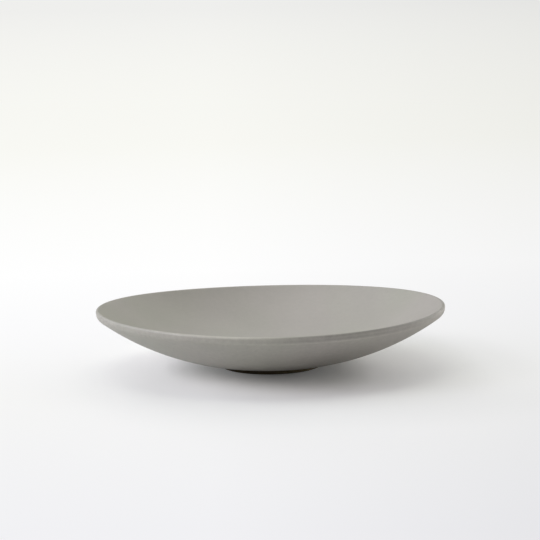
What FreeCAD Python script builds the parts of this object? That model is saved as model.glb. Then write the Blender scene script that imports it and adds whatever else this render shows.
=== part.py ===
import FreeCAD, Part
import math
import os

# A wide, shallow, slightly oval dish on a low round foot.
# It stands on z = 0 with its middle on the Z axis, its long way along X and its short way along Y.
# Lengths are in millimetres and angles are in degrees.

# Outline and height
dish_width = 290.0          # outside, across the middle
end_stretch = 10.0          # how much longer than wide the dish is
dish_height = 52.9          # table to the lip at the two ends, where the lip stands highest

# Outside of the dish: the belly sweeps up from the foot, and an almost upright band carries the lip
belly_start_angle = 7.3     # slope of the belly where it leaves the foot
band_height = 6.0           # lip to the ridge where the band meets the belly, at the two ends
band_lean = 8.0             # how far the band leans in towards the table, from upright
ridge_round = 5.0           # radius of the soft ridge between band and belly

# Inside of the dish
lip_round = 1.85            # radius of the rounded lip
floor_thickness = 6.0
well_flat = 40.0            # across the flat middle of the inside

# Foot ring: its tongue is glued into a groove in the underside of the dish
foot_diameter = 84.4
foot_height = 3.55          # table to the edge where the belly starts
foot_width = 7.0            # through the wall of the ring
foot_edge_round = 0.5       # lower edges of the ring
tongue_margin = 1.8         # shoulder on each side of the tongue
tongue_height = 1.8
tongue_clearance = 0.15     # glue gap at the sides and the top of the tongue

# Base pad: a flat ring of felt in a channel in the underside of the foot ring
pad_margin = 1.6            # lower face of the ring on each side of the channel
pad_thickness = 1.4
pad_stand = 0.5             # how far the pad stands out under the foot ring
pad_clearance = 0.1         # gap on each side of the pad in its channel

# Shallow recess in the underside of the dish, inside the foot ring
recess_depth = 0.8
recess_margin = 2.0         # flat between the foot ring and the recess

# How far the cutting shapes run past the finished surfaces
overshoot = 12.0

dish_length = dish_width + end_stretch
foot_radius = foot_diameter / 2
foot_inner_radius = foot_radius - foot_width
well_radius = well_flat / 2
floor_level = foot_height + floor_thickness
cutter_top = dish_height + overshoot
lean = math.radians(band_lean)


def place(radius, height):
    """The point at a radius from the Z axis and a height above the table, in the XZ plane."""
    return FreeCAD.Vector(radius, 0, height)


def turned(edges):
    """The solid swept by a closed outline of edges when it turns once about the Z axis."""
    outline = Part.Face(Part.Wire(edges))
    return outline.revolve(FreeCAD.Vector(0, 0, 0), FreeCAD.Vector(0, 0, 1), 360)


def flat_ring(inner_radius, outer_radius, bottom, top):
    """A ring, or a disc where inner_radius is 0, of rectangular section about the Z axis."""
    corners = [
        place(inner_radius, bottom),
        place(outer_radius, bottom),
        place(outer_radius, top),
        place(inner_radius, top),
        place(inner_radius, bottom),
    ]
    return turned(Part.makePolygon(corners).Edges)


def above_arc(start_radius, start_level, curve, start_angle):
    """All that lies above a level disc and the arc that climbs from its edge at start_angle."""
    centre_radius = start_radius - curve * math.sin(start_angle)
    centre_level = start_level + curve * math.cos(start_angle)
    end_radius = centre_radius + math.sqrt(curve ** 2 - (centre_level - cutter_top) ** 2)
    end_angle = math.asin((end_radius - centre_radius) / curve)
    middle_angle = (start_angle + end_angle) / 2
    middle = place(
        centre_radius + curve * math.sin(middle_angle),
        centre_level - curve * math.cos(middle_angle),
    )
    start = place(start_radius, start_level)
    end = place(end_radius, cutter_top)
    edges = [
        Part.makeLine(place(0, start_level), start),
        Part.Arc(start, middle, end).toShape(),
        Part.makeLine(end, place(0, cutter_top)),
        Part.makeLine(place(0, cutter_top), place(0, start_level)),
    ]
    return turned(edges)


def inside_curve():
    """Radius of the inside's arc: level at the edge of the well, and touching the lip at the two ends."""
    across = dish_length / 2 - lip_round - well_radius
    up = dish_height - lip_round - floor_level
    return (across ** 2 + up ** 2 - lip_round ** 2) / (2 * (up + lip_round))


def lip_centre_level(reach):
    """Height of the centre of the lip's rounding where the outermost point of the lip is at reach."""
    curve = inside_curve()
    across = reach - lip_round - well_radius
    return floor_level + curve - math.sqrt((curve + lip_round) ** 2 - across ** 2)


def band_radius(reach, level):
    """Where the slope of the band, carried on, passes a level, if it touches a lip that is at reach."""
    touch_radius = reach - lip_round + lip_round * math.cos(lean)
    touch_level = lip_centre_level(reach) - lip_round * math.sin(lean)
    return touch_radius - (touch_level - level) * math.tan(lean)


def band_outline(level):
    """The oval of the band's slope at a level."""
    half_length = band_radius(dish_length / 2, level)
    half_width = band_radius(dish_width / 2, level)
    oval = Part.Ellipse(FreeCAD.Vector(0, 0, level), half_length, half_width)
    return Part.Wire(oval.toShape())


def belly_curve():
    """Radius of the belly's arc: from the edge of the foot to the ridge at the two ends."""
    ridge_level = dish_height - band_height
    across = band_radius(dish_length / 2, ridge_level) - foot_radius
    up = ridge_level - foot_height
    chord = math.hypot(across, up)
    turn = math.atan2(up, across) - math.radians(belly_start_angle)
    return chord / (2 * math.sin(turn))


def rim_edges(solid):
    """The two edges that run right round the rim: the ridge, then the lip."""
    between = (foot_diameter + dish_width) / 2
    around = [edge for edge in solid.Edges if edge.BoundBox.YLength > between]
    return sorted(around, key=lambda edge: edge.CenterOfMass.z)


def dish_body():
    """A round bowl, trimmed to an oval by the band. Its lip stands highest at the two ends."""
    bowl = above_arc(foot_radius, foot_height, belly_curve(), math.radians(belly_start_angle))
    band = Part.makeLoft([band_outline(0), band_outline(cutter_top)], True, True)
    hollow = above_arc(well_radius, floor_level, inside_curve(), 0)
    solid = bowl.common(band).cut(hollow).Solids[0]
    solid = solid.makeFillet(lip_round, rim_edges(solid)[1:])
    solid = solid.makeFillet(ridge_round, rim_edges(solid)[:1])
    groove = flat_ring(
        foot_inner_radius + tongue_margin - tongue_clearance,
        foot_radius - tongue_margin + tongue_clearance,
        foot_height - overshoot,
        foot_height + tongue_height + tongue_clearance,
    )
    recess_radius = foot_inner_radius - recess_margin
    recess = flat_ring(0, recess_radius, foot_height - overshoot, foot_height + recess_depth)
    return solid.cut(groove).cut(recess)


def foot_ring():
    """The dark ring that the dish stands on, with a tongue above and a channel for the pad below."""
    ring = flat_ring(foot_inner_radius, foot_radius, pad_stand, foot_height)
    lower_edges = [edge for edge in ring.Edges if edge.BoundBox.ZMax < pad_stand + foot_edge_round]
    ring = ring.makeFillet(foot_edge_round, lower_edges)
    tongue = flat_ring(
        foot_inner_radius + tongue_margin,
        foot_radius - tongue_margin,
        foot_height - pad_stand,
        foot_height + tongue_height,
    )
    channel = flat_ring(
        foot_inner_radius + pad_margin - pad_clearance,
        foot_radius - pad_margin + pad_clearance,
        pad_stand - overshoot,
        pad_thickness,
    )
    return ring.fuse(tongue).cut(channel).removeSplitter()


def base_pad():
    """The felt ring that touches the table."""
    return flat_ring(foot_inner_radius + pad_margin, foot_radius - pad_margin, 0, pad_thickness)


pieces = {
    "dish_body": dish_body(),
    "foot_ring": foot_ring(),
    "base_pad": base_pad(),
}

os.makedirs("parts", exist_ok=True)
for name, shape in pieces.items():
    solid = shape.Solids[0]
    solid.exportStep(os.path.join("parts", name + ".step"))
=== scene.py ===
"""A wide, shallow, slightly oval stoneware dish on a low foot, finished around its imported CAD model."""

import math

import bpy
from mathutils import Matrix, Vector


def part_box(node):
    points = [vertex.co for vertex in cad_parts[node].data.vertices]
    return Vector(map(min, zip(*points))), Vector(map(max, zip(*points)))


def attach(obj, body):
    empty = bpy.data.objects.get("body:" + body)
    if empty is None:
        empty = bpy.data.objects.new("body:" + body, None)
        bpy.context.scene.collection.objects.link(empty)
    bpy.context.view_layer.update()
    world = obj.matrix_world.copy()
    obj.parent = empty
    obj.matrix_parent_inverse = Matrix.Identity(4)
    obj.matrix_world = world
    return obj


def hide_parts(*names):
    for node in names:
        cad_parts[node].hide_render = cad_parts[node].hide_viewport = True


bl_info = {
    "name": "Shallow footed dish",
    "version": (1, 0, 0),
    "blender": (4, 5, 0),
    "location": "View3D > Sidebar > Dish",
    "description": "Turns a shallow oval dish, its foot ring and its felt pad, and lights them on a sweep",
    "category": "Add Mesh",
}

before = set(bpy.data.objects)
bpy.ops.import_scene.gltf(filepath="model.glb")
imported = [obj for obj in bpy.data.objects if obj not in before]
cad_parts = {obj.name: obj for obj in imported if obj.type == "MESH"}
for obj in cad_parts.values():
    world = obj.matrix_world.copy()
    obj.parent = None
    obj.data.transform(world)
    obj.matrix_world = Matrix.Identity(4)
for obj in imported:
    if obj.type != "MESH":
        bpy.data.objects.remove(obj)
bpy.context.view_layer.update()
dish_low, dish_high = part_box("dish_body")
foot_low, foot_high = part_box("foot_ring")
_, pad_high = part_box("base_pad")

MM = 0.001
BODY = "root"
PHOTO_SIDE = 540            # pixels along each side of the photograph
SENSOR = 36.0               # millimetres, the width that the lens length goes with
SIGHT = 100.0               # metres to the farthest thing that the camera draws

# Divisions of the sections. The finish group holds the divisions round the axis.
ARC_STEPS = 48              # along the inside, and along the belly
LIP_STEPS = 16
RIDGE_STEPS = 12
BAND_STEPS = 8
EDGE_STEPS = 5              # round each small edge
FLAT_STEPS = 4              # along each other straight run
MERGE_DISTANCE = 0.001 * MM     # closes the seam and the poles
SHARP_ANGLE = math.radians(30)  # edges that bend more stay sharp

# Lamps: name, degrees round from the front by the left, degrees up, metres away, metres across and high,
# watts, colour
LAMPS = (
    ("window", 86, 31, 3.0, 4.6, 0.9, 13.9, "FEFEFF"),
    ("window_back", 104, 31, 3.0, 3.0, 0.9, 57.4, "F1F5FF"),
    ("window_front", 70, 31, 3.0, 3.0, 0.9, 43.3, "FFF9FD"),
    ("room", 246, 19, 3.0, 4.9, 2.1, 78.4, "FFFDFA"),
    ("skylight", 177, 72, 3.0, 2.0, 1.6, 17.0, "FAFFF0"),
    ("back_left", 145, 42, 3.0, 2.4, 1.2, 4.3, "FFFFFD"),
    ("back_right", 210, 42, 3.0, 2.4, 1.2, 11.1, "FDFFF9"),
    ("front", 0, 14, 3.0, 3.5, 1.0, 1.5, "FFFFFE"),
)
ROOM_LIGHT = 0.02           # strength of the light from all round
ROOM_WHITE = 0.9            # strength of what the camera sees past the sweep

# The sweep
SWEEP_REACH = 14.0          # metres from the dish to each edge
# How much of its plain tone the camera sees, by metres from the middle of the dish to its sides.
# To the front and to the back the metres count half.
LIFT = (
    (0.02, 0.05), (0.03, 0.09), (0.045, 0.12), (0.075, 0.14), (0.105, 0.24), (0.135, 0.38),
    (0.165, 0.58), (0.185, 0.78), (0.23, 0.92), (0.3, 0.95), (1.6, 1.0),
)
LIFT_REACH = LIFT[-1][0]
# Beside the foot the camera sees more of it at the left, where the window reaches under the dish, and less
# at the right
SIDE_LIFT = 0.7             # how much more or less, as a share of what it sees there
SIDE_REACH = 60 * MM        # from the middle to where that is full
SIDE_FADE = (55 * MM, 85 * MM)  # metres from the middle, counted as above, over which that fades away
# The plain tone, by metres behind the dish
TONES = (
    (-0.6, "F1F1F4"), (-0.1, "F6F6F5"), (0.24, "FBFBFC"), (0.6, "FFFFFF"), (2.1, "F9F9F4"), (8.0, "EFEFED"),
)
TONES_FROM, TONES_TO = -1.0, 9.0
# The plain tone falls off in a wedge to the right, away from the window. The wedge opens from a fixed point
# on the paper, below the spot that the photograph was taken from.
WEDGE_POINT = (-0.27, -2.16, 0.0)
WEDGE = (0.1, 0.23)         # metres rightwards, for each metre on from there, over which it falls off
WEDGE_TONE = 0.91           # how bright it then is
# The wide soft edges of the shadow, in front of the dish and at its left: the middle and the half sizes of an
# oval, in metres, and how light it is in the middle
SOFT_SHADOWS = (
    ((0.04, -0.18, 0.0), (0.22, 0.13, 1.0), 0.91),
    ((-0.10, -0.04, 0.0), (0.05, 0.15, 1.0), 0.91),
)

# The glaze. Places across the dish are in millimetres to the right of its middle.
GLAZE_SHADE = 0.895         # how light it is before its patterns are added, as a share of its colour
MARK_REACH = 150             # how far the two lists below reach to each side
# Painted highlight on the lip left of the front, and painted shade on the lip towards the right, by the place
# across
LIP_HIGHLIGHT_AND_SHADE = (
    (-145, 0.28), (-120, 0.2), (-95, 0.55), (-60, 1.0), (-34, 1.0), (-9, 0.6), (17, 0.3), (60, 0.1),
    (140, 0.0),
)
LIP_NEUTRAL = 0.3              # the level at which the lip gets no painted highlight or shade
# How strong the darker band and the paler line on the ridge are, by the place across
RIDGE_LINE_STRENGTH = (
    (-60, 0.15), (20, 0.9), (45, 1.0), (75, 0.8), (110, 0.3), (140, 0.15),
)
# The paler line on the ridge: its middle and its half width, as shares of the way down over the ridge, and
# how much paler it is. The darker band above it ends at another share of that way.
PALE_LINE_MIDDLE, PALE_LINE_WIDTH, PALE_LINE_STRENGTH = 0.62, 0.16, 1.2
DARK_BAND_END = 0.45
LEFT_BAND_SHADE = (-130, -50)          # where the painted shade on the band at the left end is full, and where it ends
# Painted shade on the front of the belly and painted light at the back of the inside, in patches: the middle
# and the half sizes of an oval, how much lighter it is there, and the share of that on the inside and on the
# outside
LIGHT_AND_SHADE_PATCHES = (
    ((33 * MM, -95 * MM, 20 * MM), (60 * MM, 80 * MM, 40 * MM), -0.14, 0.35, 1.0),
    ((45 * MM, 115 * MM, 45 * MM), (85 * MM, 70 * MM, 40 * MM), 0.09, 1.0, 0.0),
)
NO_MARKS = (0.0, 0.0, 0.0)    # no marks, as on the inside or on a piece without glaze


def linear(hex_colour):
    """The linear red, green and blue of an sRGB hex colour."""
    parts = [int(hex_colour[i:i + 2], 16) / 255 for i in (0, 2, 4)]
    return tuple(c / 12.92 if c <= 0.04045 else ((c + 0.055) / 1.055) ** 2.4 for c in parts)


def length(name, description, default):
    """A property that holds a length in metres."""
    return bpy.props.FloatProperty(
        name=name, description=description, default=default, min=0, precision=5,
        unit="LENGTH", subtype="DISTANCE",
    )


def angle(name, description, degrees):
    """A property that holds an angle, given here in degrees."""
    return bpy.props.FloatProperty(
        name=name, description=description, default=math.radians(degrees),
        unit="ROTATION", subtype="ANGLE",
    )


def colour(name, description, hex_colour):
    """A property that holds a colour, given here as sRGB hex."""
    return bpy.props.FloatVectorProperty(
        name=name, description=description, default=linear(hex_colour), size=3,
        min=0, max=1, subtype="COLOR",
    )


class DishSizes(bpy.types.PropertyGroup):
    """Sizes of the dish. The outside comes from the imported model."""

    half_length: length(
        "Half length", "From the middle to the outside of the lip, the long way",
        min(dish_high.x, -dish_low.x),
    )
    half_width: length(
        "Half width", "From the middle to the outside of the lip, the short way",
        min(dish_high.y, -dish_low.y),
    )
    height: length("Height", "Table to the lip at the two ends, where it stands highest", dish_high.z)
    belly_start: angle("Belly start", "Slope of the belly where it leaves the foot", 7.3)
    band_height: length("Band height", "Lip to the ridge at the two ends", 6.0 * MM)
    band_lean: angle("Band lean", "How far the band leans in towards the table", 8.0)
    ridge_round: length("Ridge rounding", "Radius of the soft ridge between band and belly", 5.0 * MM)
    lip_round: length("Lip rounding", "Radius of the rounded lip", 1.85 * MM)
    floor_thickness: length("Floor thickness", "Of the dish over its foot", 6.0 * MM)
    well_radius: length("Well radius", "Of the flat middle of the inside", 20.0 * MM)
    groove_margin: length("Groove margin", "Foot edge to the groove for the foot ring's tongue", 1.65 * MM)
    groove_depth: length("Groove depth", "Of the groove for the foot ring's tongue", 1.95 * MM)
    recess_margin: length("Recess margin", "Flat between the foot ring and the recess", 2.0 * MM)
    recess_depth: length("Recess depth", "Of the shallow recess inside the foot ring", 0.8 * MM)
    recess_round: length("Recess rounding", "Radius that the glaze leaves on the recess's edge", 0.3 * MM)


class FootSizes(bpy.types.PropertyGroup):
    """Sizes of the foot ring and of the felt pad under it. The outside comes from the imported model."""

    radius: length("Foot radius", "Outside of the foot ring", foot_high.x)
    height: length("Foot height", "Table to the edge where the belly starts", dish_low.z)
    width: length("Foot width", "Through the wall of the ring", 7.0 * MM)
    edge_round: length("Foot edge rounding", "Radius of the lower edges of the ring", 0.5 * MM)
    tongue_margin: length("Tongue margin", "Shoulder on each side of the tongue", 1.8 * MM)
    tongue_height: length("Tongue height", "Of the tongue in the groove of the dish", 1.8 * MM)
    channel_margin: length("Channel margin", "Lower face of the ring beside the pad's channel", 1.5 * MM)
    pad_inner: length("Pad inner radius", "Inner edge of the felt pad", 36.8 * MM)
    pad_outer: length("Pad outer radius", "Outer edge of the felt pad", pad_high.x)
    pad_thickness: length("Pad thickness", "Of the felt", pad_high.z)
    pad_stand: length("Pad stand", "How far the felt stands out under the foot ring", foot_low.z)
    pad_round: length("Pad rounding", "Radius of the worn lower edges of the felt", 0.3 * MM)


class DishFinish(bpy.types.PropertyGroup):
    """Colours of the dish, and how finely its pieces are divided."""

    warm_glaze: colour("Warm glaze", "Grey glaze where the kiln left it warmer", "A8A49E")
    cool_glaze: colour("Cool glaze", "Grey glaze where the kiln left it greener", "A5A49A")
    speck: colour("Speck", "Iron specks that show through the glaze", "77736A")
    clay: colour("Clay", "Bare clay of the foot ring", "766B52")
    felt: colour("Felt", "Wool felt under the foot ring", "32322F")
    sweep: colour("Sweep", "The pale sheet that the dish stands on", "F4F4F4")
    steps_round: bpy.props.IntProperty(
        name="Steps round", description="Divisions of each turned piece about its axis", default=320, min=16,
    )


class CameraSizes(bpy.types.PropertyGroup):
    """Where the photograph was taken from."""

    target_height: length("Target height", "Height over the table of the point aimed at", 30.0 * MM)
    distance: length("Distance", "Camera to the target", 2.2)
    azimuth: angle("Azimuth", "Turn of the camera about the dish, from the front", -7.0)
    elevation: angle("Elevation", "How far the camera looks down", 9.45)
    roll: angle("Roll", "How far the picture's right side is turned up", 0.95)
    lens: bpy.props.FloatProperty(
        name="Lens", description="Focal length in millimetres", default=170.27, min=1,
        subtype="DISTANCE_CAMERA",
    )
    target_across: bpy.props.FloatProperty(
        name="Target across", description="Pixels from the picture's middle to the target, rightwards",
        default=0.9,
    )
    target_down: bpy.props.FloatProperty(
        name="Target down", description="Pixels from the picture's middle to the target, downwards",
        default=61.7,
    )


# Sections: points (distance from the axis, height), from the middle or the top round to the underside


def arc(centre, radius, start, end, steps):
    """Points along an arc. Angles are counted from level outwards, and upwards is positive."""
    turns = [start + (end - start) * step / steps for step in range(steps + 1)]
    return [(centre[0] + radius * math.cos(turn), centre[1] + radius * math.sin(turn)) for turn in turns]


def line(start, end, steps):
    """Points along a straight run, without its two ends."""
    shares = [step / steps for step in range(1, steps)]
    return [(start[0] + (end[0] - start[0]) * s, start[1] + (end[1] - start[1]) * s) for s in shares]


def inside_curve(sizes, floor_level):
    """Radius of the inside's arc: level at the edge of the well, and touching the lip at the two ends."""
    across = sizes.half_length - sizes.lip_round - sizes.well_radius
    up = sizes.height - sizes.lip_round - floor_level
    return (across ** 2 + up ** 2 - sizes.lip_round ** 2) / (2 * (up + sizes.lip_round))


def lip_centre(sizes, floor_level, reach):
    """Centre of the lip's rounding where the outermost point of the lip is at reach."""
    curve = inside_curve(sizes, floor_level)
    radius = reach - sizes.lip_round
    across = radius - sizes.well_radius
    return radius, floor_level + curve - math.sqrt((curve + sizes.lip_round) ** 2 - across ** 2)


def band_start(sizes, floor_level, reach):
    """Where the lip's rounding runs into the straight slope of the band."""
    radius, level = lip_centre(sizes, floor_level, reach)
    lean = sizes.band_lean
    return radius + sizes.lip_round * math.cos(lean), level - sizes.lip_round * math.sin(lean)


def belly_arc(sizes, foot, floor_level):
    """Centre and radius of the belly's arc: from the edge of the foot to the ridge at the two ends."""
    ridge_level = sizes.height - sizes.band_height
    touch_radius, touch_level = band_start(sizes, floor_level, sizes.half_length)
    across = touch_radius - (touch_level - ridge_level) * math.tan(sizes.band_lean) - foot.radius
    up = ridge_level - foot.height
    turn = math.atan2(up, across) - sizes.belly_start
    curve = math.hypot(across, up) / (2 * math.sin(turn))
    start = sizes.belly_start
    return (foot.radius - curve * math.sin(start), foot.height + curve * math.cos(start)), curve


def dish_section(sizes, foot, reach):
    """The dish's section where the lip is at reach, with its tone marks at each point.

    The section goes from the middle of the inside over the lip and the belly to the middle of the underside.
    The marks have three parts. The first is for band and ridge: above 0 for a paler line on the ridge, and
    below 0 for a darker band above it. The second is 1 on top of the lip, which takes a painted highlight and
    shade. The third is 0 inside, 2 on the band, and 1 on the belly and the underside.
    """
    floor_level = foot.height + sizes.floor_thickness
    lean = sizes.band_lean
    curve = inside_curve(sizes, floor_level)
    inside_centre = (sizes.well_radius, floor_level + curve)
    lip = lip_centre(sizes, floor_level, reach)
    lip_turn = math.atan2(lip[1] - inside_centre[1], lip[0] - inside_centre[0])
    band_top = band_start(sizes, floor_level, reach)
    belly_centre, belly_curve = belly_arc(sizes, foot, floor_level)
    inward = belly_curve - sizes.ridge_round
    across, up = belly_centre[0] - band_top[0], belly_centre[1] - band_top[1]
    offset = across * math.cos(lean) - up * math.sin(lean)
    ridge_turn = -math.acos((-sizes.ridge_round - offset) / inward) - lean
    ridge = (belly_centre[0] + inward * math.cos(ridge_turn), belly_centre[1] + inward * math.sin(ridge_turn))
    well = (sizes.well_radius, floor_level)

    inside = [(0, floor_level)] + line((0, floor_level), well, FLAT_STEPS)
    inside += arc(inside_centre, curve, -math.pi / 2, lip_turn, ARC_STEPS)
    over_lip = arc(lip, sizes.lip_round, lip_turn + math.pi, -lean, LIP_STEPS)[1:]
    over_ridge = arc(ridge, sizes.ridge_round, -lean, ridge_turn, RIDGE_STEPS)
    band = line(over_lip[-1], over_ridge[0], BAND_STEPS)
    belly = arc(belly_centre, belly_curve, ridge_turn, sizes.belly_start - math.pi / 2, ARC_STEPS)[1:]

    seat = foot.height
    groove_outer = foot.radius - sizes.groove_margin
    groove_inner = foot.radius - foot.width + sizes.groove_margin
    groove_roof = seat + sizes.groove_depth
    recess_radius = foot.radius - foot.width - sizes.recess_margin
    recess_roof = seat + sizes.recess_depth
    soft = sizes.recess_round
    underside = [
        (groove_outer, seat), (groove_outer, groove_roof), (groove_inner, groove_roof), (groove_inner, seat),
    ]
    underside += arc((recess_radius + soft, seat + soft), soft, -math.pi / 2, -math.pi, EDGE_STEPS)
    underside += arc((recess_radius - soft, recess_roof - soft), soft, 0, math.pi / 2, EDGE_STEPS)
    underside += line((recess_radius - soft, recess_roof), (0, recess_roof), FLAT_STEPS) + [(0, recess_roof)]

    points = inside + over_lip + band + over_ridge + belly + underside
    # Darker down the lower part of the band, and a narrow paler line on the ridge below it
    down_band = [i / len(band) for i in range(len(band))]
    on_ridge = [i / RIDGE_STEPS for i in range(len(over_ridge))]
    on_lip = [(i + 1) / len(over_lip) for i in range(len(over_lip))]
    run = [NO_MARKS] * len(inside)
    # On top of the lip, where the glaze paints its highlight and shade
    run += [(0.0, math.sin(math.pi * at), 2 * at) for at in on_lip]
    run += [(-at ** 2, 0.0, 2.0) for at in down_band]
    for at in on_ridge:
        line_lightness = PALE_LINE_STRENGTH * math.exp(-((at - PALE_LINE_MIDDLE) / PALE_LINE_WIDTH) ** 2)
        run.append((line_lightness - max(0.0, 1 - at / DARK_BAND_END), 0.0, 2 - at))
    run += [(0.0, 0.0, 1.0)] * (len(belly) + len(underside))
    return points, run


def foot_section(foot):
    """The foot ring's section, from its tongue down the outside, round the pad's channel and back."""
    inner = foot.radius - foot.width
    soft = foot.edge_round
    under = foot.pad_stand
    tongue_outer = foot.radius - foot.tongue_margin
    tongue_inner = inner + foot.tongue_margin
    tongue_top = foot.height + foot.tongue_height
    channel_outer = foot.radius - foot.channel_margin
    channel_inner = inner + foot.channel_margin
    points = [
        (tongue_inner, tongue_top), (tongue_outer, tongue_top), (tongue_outer, foot.height),
        (foot.radius, foot.height),
    ]
    points += line((foot.radius, foot.height), (foot.radius, under + soft), FLAT_STEPS)
    points += arc((foot.radius - soft, under + soft), soft, 0, -math.pi / 2, EDGE_STEPS)
    points += [
        (channel_outer, under), (channel_outer, foot.pad_thickness),
        (channel_inner, foot.pad_thickness), (channel_inner, under),
    ]
    points += arc((inner + soft, under + soft), soft, -math.pi / 2, -math.pi, EDGE_STEPS)
    points += line((inner, under + soft), (inner, foot.height), FLAT_STEPS)
    points += [(inner, foot.height), (tongue_inner, foot.height), (tongue_inner, tongue_top)]
    return points


def pad_section(foot):
    """The felt pad's section: cut square above, with lower edges that wear has rounded."""
    soft = foot.pad_round
    top = foot.pad_thickness
    inner, outer = foot.pad_inner, foot.pad_outer
    middle = (inner + outer) / 2
    points = [(middle, top)] + line((middle, top), (outer, top), FLAT_STEPS) + [(outer, top)]
    points += line((outer, top), (outer, soft), FLAT_STEPS)
    points += arc((outer - soft, soft), soft, 0, -math.pi / 2, EDGE_STEPS)
    points += line((outer - soft, 0), (inner + soft, 0), 2 * FLAT_STEPS)
    points += arc((inner + soft, soft), soft, -math.pi / 2, -math.pi, EDGE_STEPS)
    points += line((inner, soft), (inner, top), FLAT_STEPS)
    points += [(inner, top)] + line((inner, top), (middle, top), FLAT_STEPS) + [(middle, top)]
    return points


# Nodes


def add_node(tree, kind, inputs=(), **settings):
    """Add a node of a kind with its settings, and give its inputs values, or links from sockets or nodes."""
    node = tree.nodes.new(kind)
    for name, value in settings.items():
        setattr(node, name, value)
    for name, value in dict(inputs).items():
        if isinstance(value, bpy.types.Node):
            value = value.outputs[0]
        if isinstance(value, bpy.types.NodeSocket):
            tree.links.new(value, node.inputs[name])
        else:
            node.inputs[name].default_value = value
    return node


def oval_turning():
    """Geometry nodes that turn a section about the Z axis, gliding from its end shape to its side shape.

    The input mesh holds the points of the end section and then the same number for the side section.
    The reach of an ellipse at each angle says how far the section is from one to the other.
    """
    tree = bpy.data.node_groups.new("Oval turning", "GeometryNodeTree")
    for name, kind in (
        ("Sections", "Geometry"), ("Half length", "Float"), ("Half width", "Float"),
        ("Steps round", "Int"), ("Sharp angle", "Float"), ("Material", "Material"),
    ):
        tree.interface.new_socket(name, in_out="INPUT", socket_type="NodeSocket" + kind)
    tree.interface.new_socket("Piece", in_out="OUTPUT", socket_type="NodeSocketGeometry")
    given = add_node(tree, "NodeGroupInput").outputs
    sections, half_length, half_width = given["Sections"], given["Half length"], given["Half width"]

    # A flat grid from -0.5 to 0.5: one column for each step round, one row for each point of the section
    count = add_node(tree, "GeometryNodeAttributeDomainSize", {0: sections}, component="MESH")
    rows = add_node(tree, "ShaderNodeMath", {0: count, 1: 2.0}, operation="DIVIDE")
    columns = add_node(tree, "ShaderNodeMath", {0: given["Steps round"], 1: 1.0}, operation="ADD")
    grid = add_node(
        tree, "GeometryNodeMeshGrid",
        {"Size X": 1.0, "Size Y": 1.0, "Vertices X": columns, "Vertices Y": rows},
    )
    place = add_node(tree, "GeometryNodeInputPosition")
    flat = add_node(tree, "ShaderNodeSeparateXYZ", {0: place}).outputs
    # Turned clockwise, so that the faces point outwards
    turn = add_node(
        tree, "ShaderNodeMapRange",
        {"Value": flat["X"], "From Min": -0.5, "From Max": 0.5, "To Min": 2 * math.pi, "To Max": 0.0},
    )
    last_row = add_node(tree, "ShaderNodeMath", {0: rows, 1: 1.0}, operation="SUBTRACT")
    row = add_node(
        tree, "ShaderNodeMapRange",
        {"Value": flat["Y"], "From Min": -0.5, "From Max": 0.5, "To Max": last_row},
    )
    row = add_node(tree, "ShaderNodeMath", {0: row}, operation="ROUND")
    side_row = add_node(tree, "ShaderNodeMath", {0: row, 1: rows}, operation="ADD")

    # The ellipse's reach at this angle, as a share of the way from the end section to the side section
    outwards = add_node(
        tree, "ShaderNodeVectorRotate", {"Vector": (1, 0, 0), "Angle": turn}, rotation_type="Z_AXIS",
    )
    halves = add_node(tree, "ShaderNodeCombineXYZ", {"X": half_length, "Y": half_width, "Z": 1.0})
    shrunk = add_node(tree, "ShaderNodeVectorMath", {0: outwards, 1: halves}, operation="DIVIDE")
    shrunk = add_node(tree, "ShaderNodeVectorMath", {0: shrunk}, operation="LENGTH").outputs["Value"]
    reach = add_node(tree, "ShaderNodeMath", {0: 1.0, 1: shrunk}, operation="DIVIDE")
    share = add_node(
        tree, "ShaderNodeMapRange", {"Value": reach, "From Min": half_length, "From Max": half_width},
    )

    end = add_node(
        tree, "GeometryNodeSampleIndex", {"Geometry": sections, "Value": place, "Index": row},
        data_type="FLOAT_VECTOR",
    )
    side = add_node(
        tree, "GeometryNodeSampleIndex", {"Geometry": sections, "Value": place, "Index": side_row},
        data_type="FLOAT_VECTOR",
    )
    section = add_node(
        tree, "ShaderNodeMix", {"Factor": share, 4: end, 5: side}, data_type="VECTOR",
    ).outputs[1]
    turned = add_node(
        tree, "ShaderNodeVectorRotate", {"Vector": section, "Angle": turn}, rotation_type="Z_AXIS",
    )
    run = add_node(tree, "GeometryNodeInputNamedAttribute", {"Name": "tone_marks"}, data_type="FLOAT_VECTOR")
    run = add_node(
        tree, "GeometryNodeSampleIndex", {"Geometry": sections, "Value": run, "Index": row},
        data_type="FLOAT_VECTOR",
    )
    marked = add_node(
        tree, "GeometryNodeStoreNamedAttribute", {"Geometry": grid, "Name": "tone_marks", "Value": run},
        data_type="FLOAT_VECTOR", domain="POINT",
    )
    shaped = add_node(tree, "GeometryNodeSetPosition", {"Geometry": marked, "Position": turned})

    # The seam and the poles close, and only true corners stay sharp
    closed = add_node(tree, "GeometryNodeMergeByDistance", {"Geometry": shaped, "Distance": MERGE_DISTANCE})
    smooth = add_node(
        tree, "GeometryNodeSetShadeSmooth", {"Geometry": closed, "Shade Smooth": True}, domain="FACE",
    )
    bend = add_node(tree, "GeometryNodeInputMeshEdgeAngle")
    corner = add_node(
        tree, "FunctionNodeCompare", {0: bend, 1: given["Sharp angle"]}, data_type="FLOAT",
        operation="GREATER_THAN",
    )
    sharp = add_node(
        tree, "GeometryNodeSetShadeSmooth", {"Geometry": smooth, "Selection": corner, "Shade Smooth": False},
        domain="EDGE",
    )
    real = add_node(tree, "GeometryNodeRealizeInstances", {"Geometry": sharp})
    coated = add_node(tree, "GeometryNodeSetMaterial", {"Geometry": real, "Material": given["Material"]})
    add_node(tree, "NodeGroupOutput", {"Piece": coated}, is_active_output=True)
    return tree


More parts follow.
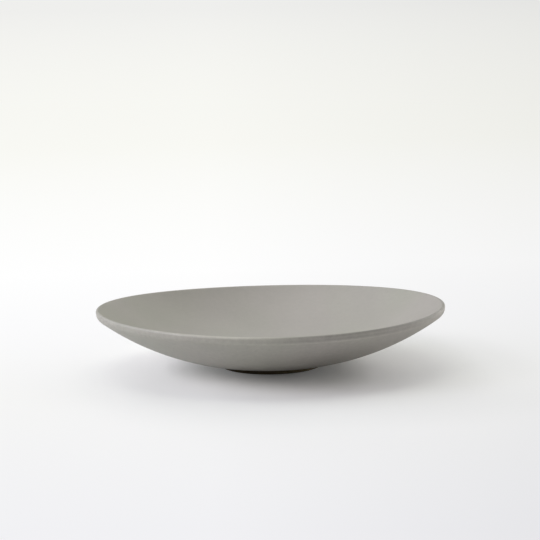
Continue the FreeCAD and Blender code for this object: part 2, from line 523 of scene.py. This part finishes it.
def turned_piece(name, end, side, run, half_length, half_width, steps_round, material):
    """Turn a section into a finished piece with the Oval turning nodes, as a plain mesh at the origin."""
    mesh = bpy.data.meshes.new(name + "_sections")
    mesh.from_pydata([(radius, 0, level) for radius, level in end + side], [], [])
    mark_values = [part for point in run + run for part in point]
    mesh.attributes.new("tone_marks", "FLOAT_VECTOR", "POINT").data.foreach_set("vector", mark_values)
    maker = bpy.data.objects.new(name + "_maker", mesh)
    bpy.context.scene.collection.objects.link(maker)
    tree = bpy.data.node_groups.get("Oval turning") or oval_turning()
    modifier = maker.modifiers.new("Oval turning", "NODES")
    modifier.node_group = tree
    values = {
        "Half length": half_length, "Half width": half_width, "Steps round": steps_round,
        "Sharp angle": SHARP_ANGLE, "Material": material,
    }
    for socket in tree.interface.items_tree:
        if socket.name in values:
            modifier[socket.identifier] = values[socket.name]
    graph = bpy.context.evaluated_depsgraph_get()
    finished = bpy.data.meshes.new_from_object(maker.evaluated_get(graph))
    bpy.data.objects.remove(maker)
    bpy.data.meshes.remove(mesh)
    if not finished.polygons:
        raise RuntimeError(f"{name}: the turning nodes made no faces")
    finished.name = name
    piece = bpy.data.objects.new(name, finished)
    bpy.context.scene.collection.objects.link(piece)
    return piece


def finish_piece(piece, node):
    """Let a piece stand for its CAD node and move with the dish."""
    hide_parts(node)
    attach(piece, BODY)


# Materials


def new_material(name):
    """An empty node material, and its tree."""
    material = bpy.data.materials.new(name)
    material.use_nodes = True
    material.node_tree.nodes.clear()
    return material, material.node_tree


def set_ramp(node, low, high, stops):
    """Give a colour ramp its stops from low to high: each a place, and a level or an sRGB hex colour."""
    elements = node.color_ramp.elements
    places = [(place - low) / (high - low) for place, _ in stops]
    for place in places[1:-1]:
        elements.new(place)
    for element, place, (_, tone) in zip(elements, places, stops):
        element.position = place
        element.color = (*linear(tone), 1) if isinstance(tone, str) else (tone, tone, tone, 1)


def oval_fade(tree, place, middle, half_sizes, in_middle, at_edge):
    """A value that glides from one level at the middle of an oval to another at its edge and outside."""
    off = add_node(tree, "ShaderNodeVectorMath", {0: place, 1: middle}, operation="SUBTRACT")
    off = add_node(tree, "ShaderNodeVectorMath", {0: off, 1: half_sizes}, operation="DIVIDE")
    off = add_node(tree, "ShaderNodeVectorMath", {0: off}, operation="LENGTH").outputs["Value"]
    return add_node(
        tree, "ShaderNodeMapRange", {"Value": off, "To Min": in_middle, "To Max": at_edge},
        interpolation_type="SMOOTHSTEP",
    )


def added_up(tree, start, patterns):
    """A start value with patterns added, each times its weight."""
    total = start
    for pattern, weight in patterns:
        total = add_node(tree, "ShaderNodeMath", {0: pattern, 1: weight, 2: total}, operation="MULTIPLY_ADD")
    return total


def glazed_stoneware(finish):
    """Stoneware, thrown and sprayed with a satin glaze.

    The eye sees a soft grey skin with a low, broad shine: a slow drift from warm to greenish grey, a
    mottle where the glaze lies thicker, fine grain, a few iron specks, the faint rings that turning
    left, and a paler line on the ridge under a darker band, strongest right of the middle. The lip has a
    painted highlight left of the front and painted shade towards the right. The band has painted shade at
    its left end, the front of the belly a patch of painted shade, and the back of the inside a patch of
    painted light.
    """
    material, tree = new_material("Satin glazed stoneware")
    place = add_node(tree, "ShaderNodeTexCoord").outputs["Object"]
    drift = add_node(tree, "ShaderNodeTexNoise", {"Vector": place, "Scale": 1 / (90 * MM), "Detail": 1.0})
    mottle = add_node(tree, "ShaderNodeTexNoise", {"Vector": place, "Scale": 1 / (34 * MM), "Detail": 3.0})
    cloud = add_node(tree, "ShaderNodeTexNoise", {"Vector": place, "Scale": 1 / (7 * MM), "Detail": 2.0})
    grain = add_node(
        tree, "ShaderNodeTexNoise",
        {"Vector": place, "Scale": 1 / (0.9 * MM), "Detail": 2.0, "Roughness": 0.6},
    )
    # Rings from turning, about 1.6 mm apart. The wave's rings are 2 pi / 20 apart at a scale of 1.
    rings = add_node(
        tree, "ShaderNodeTexWave",
        {"Vector": place, "Scale": math.pi / 10 / (1.6 * MM), "Distortion": 3.0, "Detail": 1.0,
         "Detail Scale": 0.3},
        wave_type="RINGS", rings_direction="Z",
    ).outputs["Fac"]

    # Iron specks, 0.3 to 0.6 mm across and about 5 mm apart
    cells = add_node(tree, "ShaderNodeTexVoronoi", {"Vector": place, "Scale": 1 / (5 * MM)}).outputs
    size = add_node(tree, "ShaderNodeMapRange", {"Value": cells["Color"], "To Min": 0.03, "To Max": 0.07})
    speck = add_node(
        tree, "ShaderNodeMapRange",
        {"Value": add_node(tree, "ShaderNodeMath", {0: cells["Distance"], 1: size}, operation="DIVIDE"),
         "From Min": 1.0, "From Max": 0.6, "To Min": 0.0, "To Max": 0.6},
    )

    # Painted highlight and shade on the lip, and the paler line and darker band on the band and the ridge
    run = add_node(tree, "ShaderNodeAttribute", attribute_name="tone_marks").outputs["Vector"]
    run = add_node(tree, "ShaderNodeSeparateXYZ", {0: run}).outputs
    across = add_node(tree, "ShaderNodeSeparateXYZ", {0: place}).outputs["X"]
    along = add_node(
        tree, "ShaderNodeMapRange",
        {"Value": across, "From Min": -MARK_REACH * MM, "From Max": MARK_REACH * MM},
    )
    line_lightness = add_node(tree, "ShaderNodeValToRGB", {0: along})
    set_ramp(line_lightness, -MARK_REACH, MARK_REACH, LIP_HIGHLIGHT_AND_SHADE)
    ridge = add_node(tree, "ShaderNodeValToRGB", {0: along})
    set_ramp(ridge, -MARK_REACH, MARK_REACH, RIDGE_LINE_STRENGTH)
    # Painted highlight on the lip left of the front, and painted shade on the lip towards the right
    lip = add_node(tree, "ShaderNodeMath", {0: line_lightness, 1: LIP_NEUTRAL}, operation="SUBTRACT")
    lip = add_node(tree, "ShaderNodeMath", {0: run["Y"], 1: lip}, operation="MULTIPLY")
    ridge = add_node(tree, "ShaderNodeMath", {0: run["X"], 1: ridge}, operation="MULTIPLY")
    # Painted shade on the band at its left end
    left_band_shade = add_node(
        tree, "ShaderNodeMapRange",
        {"Value": across, "From Min": LEFT_BAND_SHADE[0] * MM, "From Max": LEFT_BAND_SHADE[1] * MM, "To Min": 1.0, "To Max": 0.0},
    )
    on_band = add_node(tree, "ShaderNodeMapRange", {"Value": run["Z"], "From Min": 1.0, "From Max": 1.5})
    left_band_shade = add_node(tree, "ShaderNodeMath", {0: on_band, 1: left_band_shade}, operation="MULTIPLY")
    # Coarser grain, about 3.5 mm, which shows more on the outside than on the inside
    sand = add_node(
        tree, "ShaderNodeTexNoise",
        {"Vector": place, "Scale": 1 / (3.5 * MM), "Detail": 2.0, "Roughness": 0.7},
    )
    sand = add_node(tree, "ShaderNodeMath", {0: sand, 1: 0.5}, operation="SUBTRACT")
    rough_side = add_node(tree, "ShaderNodeMapRange", {"Value": run["Z"], "To Min": 0.3, "To Max": 1.0})
    sand = add_node(tree, "ShaderNodeMath", {0: sand, 1: rough_side}, operation="MULTIPLY")
    patterns = [
        (mottle, 0.10), (cloud, 0.06), (grain, 0.07), (rings, 0.02), (sand, 0.30), (ridge, 0.16),
        (lip, 0.60), (left_band_shade, -0.16),
    ]
    # Painted shade on the front of the belly, and painted light at the back of the inside
    for middle, half_sizes, lighter, inside, outside in LIGHT_AND_SHADE_PATCHES:
        patch = oval_fade(tree, place, middle, half_sizes, 1.0, 0.0)
        where = add_node(tree, "ShaderNodeMapRange", {"Value": run["Z"], "To Min": inside, "To Max": outside})
        patch = add_node(tree, "ShaderNodeMath", {0: where, 1: patch}, operation="MULTIPLY")
        patterns.append((patch, lighter))
    shade = added_up(tree, GLAZE_SHADE, patterns)

    drift = add_node(tree, "ShaderNodeMapRange", {"Value": drift, "From Min": 0.35, "From Max": 0.65})
    toned = add_node(
        tree, "ShaderNodeMix", {"Factor": drift, 6: (*finish.cool_glaze, 1), 7: (*finish.warm_glaze, 1)},
        data_type="RGBA",
    ).outputs[2]
    toned = add_node(tree, "ShaderNodeVectorMath", {0: toned, "Scale": shade}, operation="SCALE")
    toned = add_node(
        tree, "ShaderNodeMix", {"Factor": speck, 6: toned, 7: (*finish.speck, 1)}, data_type="RGBA",
    ).outputs[2]
    gloss = add_node(
        tree, "ShaderNodeMapRange",
        {"Value": cloud, "From Min": 0.3, "From Max": 0.7, "To Min": 0.54, "To Max": 0.62},
    )
    relief = added_up(tree, 0.0, ((cloud, 1.5), (grain, 0.6), (rings, 0.5)))
    bump = add_node(tree, "ShaderNodeBump", {"Strength": 1.0, "Distance": 0.02 * MM, "Height": relief})
    shader = add_node(
        tree, "ShaderNodeBsdfPrincipled",
        {"Base Color": toned, "Roughness": gloss, "IOR": 1.5, "Normal": bump},
    )
    add_node(tree, "ShaderNodeOutputMaterial", {"Surface": shader})
    return material


def bare_clay(finish):
    """Dark stoneware clay, turned and fired without glaze.

    The eye sees a dry, dark brown ring with sandy grain and close turning lines.
    """
    material, tree = new_material("Bare dark clay")
    place = add_node(tree, "ShaderNodeTexCoord").outputs["Object"]
    grog = add_node(
        tree, "ShaderNodeTexNoise",
        {"Vector": place, "Scale": 1 / (0.8 * MM), "Detail": 4.0, "Roughness": 0.65},
    )
    patch = add_node(tree, "ShaderNodeTexNoise", {"Vector": place, "Scale": 1 / (12 * MM), "Detail": 2.0})
    # Stretched along the turn: lines 0.5 mm apart up the wall
    stretched = add_node(tree, "ShaderNodeMapping", {"Vector": place, "Scale": (0.08, 0.08, 1.0)})
    lines = add_node(
        tree, "ShaderNodeTexNoise", {"Vector": stretched, "Scale": 1 / (0.5 * MM), "Detail": 1.0},
    )
    both = add_node(tree, "ShaderNodeMath", {0: grog, 1: lines}, operation="ADD")
    shade = add_node(
        tree, "ShaderNodeMapRange",
        {"Value": both, "From Min": 0.6, "From Max": 1.4, "To Min": 0.78, "To Max": 1.2},
    )
    toned = add_node(tree, "ShaderNodeVectorMath", {0: tuple(finish.clay), "Scale": shade}, operation="SCALE")
    dry = add_node(
        tree, "ShaderNodeMapRange",
        {"Value": patch, "From Min": 0.3, "From Max": 0.7, "To Min": 0.82, "To Max": 0.95},
    )
    bump = add_node(tree, "ShaderNodeBump", {"Strength": 1.0, "Distance": 0.06 * MM, "Height": both})
    shader = add_node(
        tree, "ShaderNodeBsdfPrincipled",
        {"Base Color": toned, "Roughness": dry, "IOR": 1.5, "Specular IOR Level": 0.25, "Normal": bump},
    )
    add_node(tree, "ShaderNodeOutputMaterial", {"Surface": shader})
    return material


def wool_felt(finish):
    """Wool felt, pressed and cut to a ring.

    The eye sees a dark matt nap of short fibres that cross in all directions.
    """
    material, tree = new_material("Pressed wool felt")
    place = add_node(tree, "ShaderNodeTexCoord").outputs["Object"]
    # Fibres about 0.03 mm thick, drawn at 0.25 mm so that they show
    fibres = add_node(
        tree, "ShaderNodeTexNoise",
        {"Vector": place, "Scale": 1 / (0.25 * MM), "Detail": 3.0, "Roughness": 0.6, "Distortion": 2.5},
    )
    shade = add_node(
        tree, "ShaderNodeMapRange",
        {"Value": fibres, "From Min": 0.3, "From Max": 0.7, "To Min": 0.65, "To Max": 1.4},
    )
    toned = add_node(tree, "ShaderNodeVectorMath", {0: tuple(finish.felt), "Scale": shade}, operation="SCALE")
    bump = add_node(tree, "ShaderNodeBump", {"Strength": 1.0, "Distance": 0.1 * MM, "Height": fibres})
    shader = add_node(
        tree, "ShaderNodeBsdfPrincipled",
        {"Base Color": toned, "Roughness": 0.95, "Specular IOR Level": 0.1, "Sheen Weight": 0.3,
         "Sheen Roughness": 0.6, "Normal": bump},
    )
    add_node(tree, "ShaderNodeOutputMaterial", {"Surface": shader})
    return material


def paper_sweep(finish):
    """Smooth white paper, rolled out as the ground and background.

    The photograph is exposed for white paper. The shadow stays dark beside the foot, and away from it
    the camera sees it lighter, up to the plain tones of the paper far off.
    """
    material, tree = new_material("White paper sweep")
    place = add_node(tree, "ShaderNodeTexCoord").outputs["Object"]
    tooth = add_node(tree, "ShaderNodeTexNoise", {"Vector": place, "Scale": 1 / (250 * MM), "Detail": 2.0})
    shade = add_node(
        tree, "ShaderNodeMapRange",
        {"Value": tooth, "From Min": 0.3, "From Max": 0.7, "To Min": 0.99, "To Max": 1.01},
    )

    # The wide soft edges of the shadow
    soft = 1.0
    for middle, half_sizes, lightness in SOFT_SHADOWS:
        oval = oval_fade(tree, place, middle, half_sizes, lightness, 1.0)
        soft = add_node(tree, "ShaderNodeMath", {0: oval, 1: soft}, operation="MULTIPLY")
    shade = add_node(tree, "ShaderNodeMath", {0: shade, 1: soft}, operation="MULTIPLY")
    toned = add_node(
        tree, "ShaderNodeVectorMath", {0: tuple(finish.sweep), "Scale": shade}, operation="SCALE",
    )
    paper = add_node(
        tree, "ShaderNodeBsdfPrincipled", {"Base Color": toned, "Roughness": 0.9, "Specular IOR Level": 0.1},
    )

    # How much of the plain tone is seen, by metres from the middle of the dish
    part = add_node(tree, "ShaderNodeSeparateXYZ", {0: place}).outputs
    halved = add_node(tree, "ShaderNodeVectorMath", {0: place, 1: (1, 0.5, 1)}, operation="MULTIPLY")
    metres_away = add_node(tree, "ShaderNodeVectorMath", {0: halved}, operation="LENGTH").outputs["Value"]
    away = add_node(tree, "ShaderNodeMapRange", {"Value": metres_away, "From Max": LIFT_REACH})
    lift = add_node(tree, "ShaderNodeValToRGB", {0: away})
    set_ramp(lift, 0, LIFT_REACH, LIFT)
    side = add_node(
        tree, "ShaderNodeMapRange",
        {"Value": part["X"], "From Min": -SIDE_REACH, "From Max": SIDE_REACH,
         "To Min": SIDE_LIFT, "To Max": -SIDE_LIFT},
    )
    near = add_node(
        tree, "ShaderNodeMapRange",
        {"Value": metres_away, "From Min": SIDE_FADE[0], "From Max": SIDE_FADE[1],
         "To Min": 1.0, "To Max": 0.0},
    )
    side = add_node(tree, "ShaderNodeMath", {0: side, 1: near}, operation="MULTIPLY")
    lift = add_node(tree, "ShaderNodeMath", {0: lift, 1: side, 2: lift}, operation="MULTIPLY_ADD")
    paths = add_node(tree, "ShaderNodeLightPath").outputs
    seen = add_node(
        tree, "ShaderNodeMath", {0: paths["Is Camera Ray"], 1: paths["Is Glossy Ray"]}, operation="ADD",
    )
    seen = add_node(tree, "ShaderNodeMath", {0: seen, 1: paths["Is Transmission Ray"]}, operation="ADD")
    share = add_node(tree, "ShaderNodeMath", {0: lift, 1: seen}, operation="MULTIPLY")

    # The plain tone, by metres behind the dish, falling off in the wedge
    depth = add_node(
        tree, "ShaderNodeMapRange", {"Value": part["Y"], "From Min": TONES_FROM, "From Max": TONES_TO},
    )
    tone = add_node(tree, "ShaderNodeValToRGB", {0: depth})
    set_ramp(tone, TONES_FROM, TONES_TO, TONES)
    onwards = add_node(tree, "ShaderNodeVectorMath", {0: place, 1: WEDGE_POINT}, operation="SUBTRACT")
    onwards = add_node(tree, "ShaderNodeSeparateXYZ", {0: onwards}).outputs
    aside = add_node(tree, "ShaderNodeMath", {0: onwards["X"], 1: onwards["Y"]}, operation="DIVIDE")
    evenness = add_node(
        tree, "ShaderNodeMapRange",
        {"Value": aside, "From Min": WEDGE[0], "From Max": WEDGE[1], "To Min": 1.0, "To Max": WEDGE_TONE},
    )
    strength = add_node(tree, "ShaderNodeMath", {0: evenness, 1: soft}, operation="MULTIPLY")
    glow = add_node(tree, "ShaderNodeEmission", {"Color": tone, "Strength": strength})
    shader = add_node(tree, "ShaderNodeMixShader", {0: share, 1: paper, 2: glow})
    add_node(tree, "ShaderNodeOutputMaterial", {"Surface": shader})
    return material


# Operators


class DISH_OT_body(bpy.types.Operator):
    """Turn the dish itself, from its two sections, and glaze it"""

    bl_idname = "dish.body"
    bl_label = "Turn dish body"

    def execute(self, context):
        sizes, foot, finish = context.scene.dish_sizes, context.scene.foot_sizes, context.scene.dish_finish
        end, run = dish_section(sizes, foot, sizes.half_length)
        side, _ = dish_section(sizes, foot, sizes.half_width)
        piece = turned_piece(
            "stoneware_dish", end, side, run, sizes.half_length, sizes.half_width, finish.steps_round,
            glazed_stoneware(finish),
        )
        finish_piece(piece, "dish_body")
        return {"FINISHED"}


class DISH_OT_foot_ring(bpy.types.Operator):
    """Turn the dark ring that the dish stands on"""

    bl_idname = "dish.foot_ring"
    bl_label = "Turn foot ring"

    def execute(self, context):
        foot, finish = context.scene.foot_sizes, context.scene.dish_finish
        section = foot_section(foot)
        piece = turned_piece(
            "clay_foot_ring", section, section, [NO_MARKS] * len(section), foot.radius, foot.radius,
            finish.steps_round, bare_clay(finish),
        )
        finish_piece(piece, "foot_ring")
        return {"FINISHED"}


class DISH_OT_base_pad(bpy.types.Operator):
    """Cut the felt ring that touches the table"""

    bl_idname = "dish.base_pad"
    bl_label = "Cut base pad"

    def execute(self, context):
        foot, finish = context.scene.foot_sizes, context.scene.dish_finish
        section = pad_section(foot)
        piece = turned_piece(
            "felt_base_pad", section, section, [NO_MARKS] * len(section), foot.pad_outer, foot.pad_outer,
            finish.steps_round, wool_felt(finish),
        )
        finish_piece(piece, "base_pad")
        return {"FINISHED"}


class DISH_OT_stage(bpy.types.Operator):
    """Roll out the pale sweep, and set up the window light, the room's light and the camera"""

    bl_idname = "dish.stage"
    bl_label = "Set stage"

    def execute(self, context):
        scene = context.scene
        finish, view = scene.dish_finish, scene.dish_camera

        mesh = bpy.data.meshes.new("sweep")
        far = SWEEP_REACH
        mesh.from_pydata([(-far, -far, 0), (far, -far, 0), (far, far, 0), (-far, far, 0)], [], [(0, 1, 2, 3)])
        mesh.materials.append(paper_sweep(finish))
        sweep = bpy.data.objects.new("sweep", mesh)
        scene.collection.objects.link(sweep)

        for name, azimuth, elevation, distance, across, up, watts, tint in LAMPS:
            lamp = bpy.data.lights.new(name, "AREA")
            lamp.shape = "RECTANGLE"
            lamp.size, lamp.size_y, lamp.energy = across, up, watts
            lamp.color = linear(tint)
            holder = bpy.data.objects.new(name, lamp)
            turn, rise = math.radians(azimuth), math.radians(elevation)
            out = Vector((-math.sin(turn) * math.cos(rise), -math.cos(turn) * math.cos(rise), math.sin(rise)))
            holder.matrix_world = (
                Matrix.Translation(out * distance) @ out.to_track_quat("Z", "Y").to_matrix().to_4x4()
            )
            holder.visible_camera = False
            scene.collection.objects.link(holder)

        world = bpy.data.worlds.new("room")
        scene.world = world
        world.use_nodes = True
        tree = world.node_tree
        tree.nodes.clear()
        seen = add_node(tree, "ShaderNodeLightPath").outputs["Is Camera Ray"]
        light = add_node(tree, "ShaderNodeBackground", {"Color": (1, 1, 1, 1), "Strength": ROOM_LIGHT})
        white = add_node(tree, "ShaderNodeBackground", {"Color": (1, 1, 1, 1), "Strength": ROOM_WHITE})
        both = add_node(tree, "ShaderNodeMixShader", {0: seen, 1: light, 2: white})
        add_node(tree, "ShaderNodeOutputWorld", {"Surface": both})

        camera = bpy.data.cameras.new("camera")
        camera.lens, camera.sensor_width = view.lens, SENSOR
        camera.clip_end = SIGHT
        eye = bpy.data.objects.new("camera", camera)
        focal = view.lens / SENSOR * PHOTO_SIDE
        back = Vector((
            math.sin(view.azimuth) * math.cos(view.elevation),
            -math.cos(view.azimuth) * math.cos(view.elevation),
            math.sin(view.elevation),
        ))
        aim = (
            Matrix.Rotation(view.azimuth, 4, "Z")
            @ Matrix.Rotation(math.pi / 2 - view.elevation, 4, "X")
            @ Matrix.Rotation(-view.roll, 4, "Z")
            @ Matrix.Rotation(math.atan(view.target_down / focal), 4, "X")
            @ Matrix.Rotation(math.atan(view.target_across / focal), 4, "Y")
        )
        eye.matrix_world = Matrix.Translation(Vector((0, 0, view.target_height)) + back * view.distance) @ aim
        scene.collection.objects.link(eye)
        scene.camera = eye
        scene.view_settings.view_transform = "Standard"
        return {"FINISHED"}


class DISH_PT_sidebar(bpy.types.Panel):
    """Sizes and makers of the dish, in the sidebar"""

    bl_idname = "DISH_PT_sidebar"
    bl_label = "Shallow footed dish"
    bl_space_type = "VIEW_3D"
    bl_region_type = "UI"
    bl_category = "Dish"

    def draw(self, context):
        for maker in MAKERS:
            self.layout.operator(maker.bl_idname)
        for group in GROUPS:
            box = self.layout.box()
            box.label(text=group)
            settings = getattr(context.scene, group)
            for name in settings.__annotations__:
                box.prop(settings, name)


MAKERS = (DISH_OT_stage, DISH_OT_body, DISH_OT_foot_ring, DISH_OT_base_pad)
GROUPS = {
    "dish_sizes": DishSizes,
    "foot_sizes": FootSizes,
    "dish_finish": DishFinish,
    "dish_camera": CameraSizes,
}


def register():
    """Add the property groups, the operators and the panel."""
    for name, group in GROUPS.items():
        bpy.utils.register_class(group)
        setattr(bpy.types.Scene, name, bpy.props.PointerProperty(type=group))
    for kind in (*MAKERS, DISH_PT_sidebar):
        bpy.utils.register_class(kind)


def unregister():
    """Take the panel, the operators and the property groups away again."""
    for kind in (DISH_PT_sidebar, *reversed(MAKERS)):
        bpy.utils.unregister_class(kind)
    for name, group in reversed(GROUPS.items()):
        delattr(bpy.types.Scene, name)
        bpy.utils.unregister_class(group)


def main():
    """Make the stage and every piece."""
    register()
    bpy.ops.dish.stage()
    bpy.ops.dish.body()
    bpy.ops.dish.foot_ring()
    bpy.ops.dish.base_pad()


if __name__ == "__main__":
    main()
